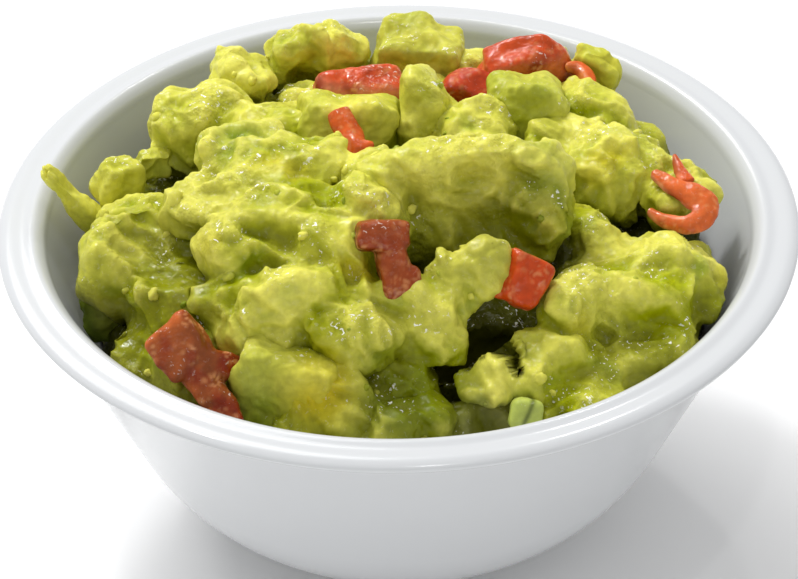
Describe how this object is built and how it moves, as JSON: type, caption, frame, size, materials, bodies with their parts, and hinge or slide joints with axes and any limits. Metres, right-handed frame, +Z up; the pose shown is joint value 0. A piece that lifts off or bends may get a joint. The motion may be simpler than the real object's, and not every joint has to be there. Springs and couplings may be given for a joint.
{
  "type": "guacamole in a bowl",
  "caption": "Chunky guacamole with diced tomato heaped in a round white porcelain dip bowl with a wide soft rim.",
  "frame": {"origin": "centre of the bowl's foot, on the table", "axes": "+Z up through the bowl's axis; the front of the bowl looks along -Y, +X is to its right"},
  "size_m": [0.14, 0.14, 0.0827],
  "materials": {
    "porcelain": "white glazed porcelain, smooth gloss",
    "mashed_avocado": "wet yellow-green mash with small bright glints",
    "avocado": "moist pale green avocado flesh",
    "tomato": "wet red tomato, glossy skin and softer flesh",
    "green_chilli": "wet pale green chilli"
  },
  "bodies": {
    "root": {"avocado_chunk_front": "avocado", "avocado_chunk_left_low": "avocado", "avocado_cube_back": "avocado", "avocado_cube_centre_back": "avocado", "avocado_cube_left_back": "avocado", "avocado_cube_right_back": "avocado", "avocado_nub_left_back": "avocado", "avocado_slab_right_back": "avocado", "avocado_spear_left": "avocado", "bowl": "porcelain", "chilli_bit_front": "green_chilli", "guacamole": "mashed_avocado", "tomato_back_large": "tomato", "tomato_back_left": "tomato", "tomato_back_small": "tomato", "tomato_centre": "tomato", "tomato_front_left": "tomato", "tomato_right_centre": "tomato", "tomato_right_hook": "tomato", "tomato_right_strand": "tomato", "tomato_strip_back": "tomato", "tomato_waisted": "tomato"}
  },
  "joints": []
}
